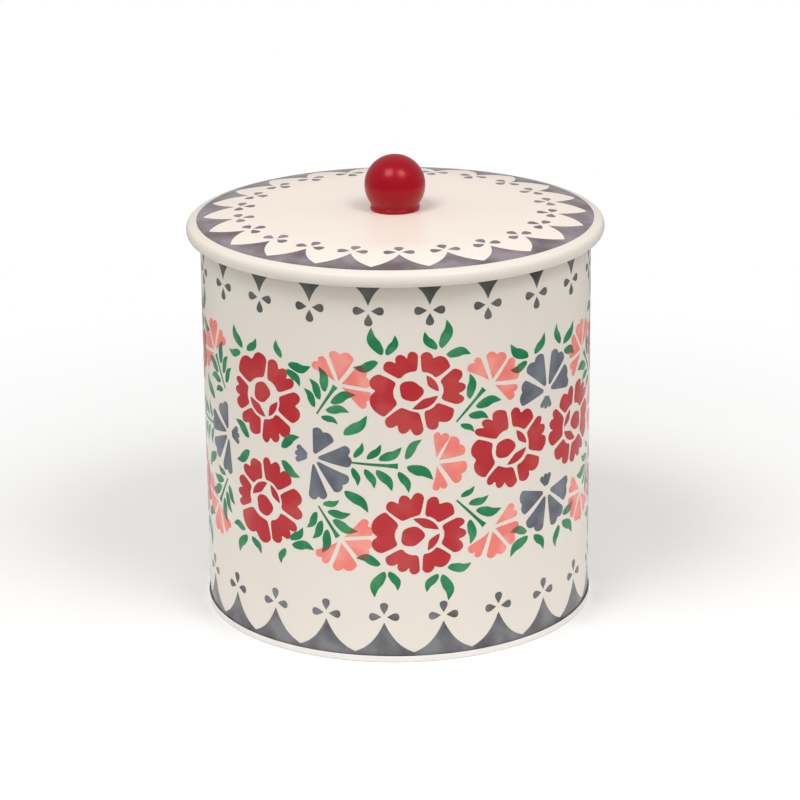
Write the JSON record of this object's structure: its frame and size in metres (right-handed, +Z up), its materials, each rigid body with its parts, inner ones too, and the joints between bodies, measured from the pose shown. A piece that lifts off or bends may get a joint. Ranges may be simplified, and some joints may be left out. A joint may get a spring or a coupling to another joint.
{
  "type": "cookie tin",
  "caption": "Round enamelled cookie tin with a lift-off plug lid, rolled rim, silicone seal and red ball knob.",
  "frame": {"origin": "centre of the face that the tin stands on, at the underside of the double seam", "axes": "+Z up along the tin's axis, -Y towards the viewer, so the lap seam of the body is at +Y"},
  "size_m": [0.165, 0.165, 0.1825],
  "materials": {
    "cream_enamel": "gloss enamel",
    "inside_lacquer": "clear food-safe lacquer on tinplate",
    "red_gloss": "high gloss",
    "silicone": "satin",
    "brass": "machined",
    "zinc_steel": "zinc plated",
    "print_red": "gloss printed ink",
    "print_coral": "gloss printed ink",
    "print_green": "gloss printed ink",
    "print_slate": "gloss printed ink"
  },
  "bodies": {
    "tin": {"body_wall": "cream_enamel", "base_plate": "cream_enamel"},
    "seal": {"seal_ring": "silicone"},
    "lid": {"lid_shell": "cream_enamel", "lid_plug": "inside_lacquer", "knob": "red_gloss", "knob_insert": "brass", "knob_washer": "zinc_steel", "knob_screw": "zinc_steel"}
  },
  "joints": [
    {"name": "lid_lift", "type": "slide", "parent": "tin", "child": "seal", "axis": [0, 0, 1], "range_m": [0, 0.1]},
    {"name": "lid_turn", "type": "hinge", "parent": "seal", "child": "lid", "pos_m": [0, 0, 0.154], "axis": [0, 0, 1], "continuous": true}
  ]
}
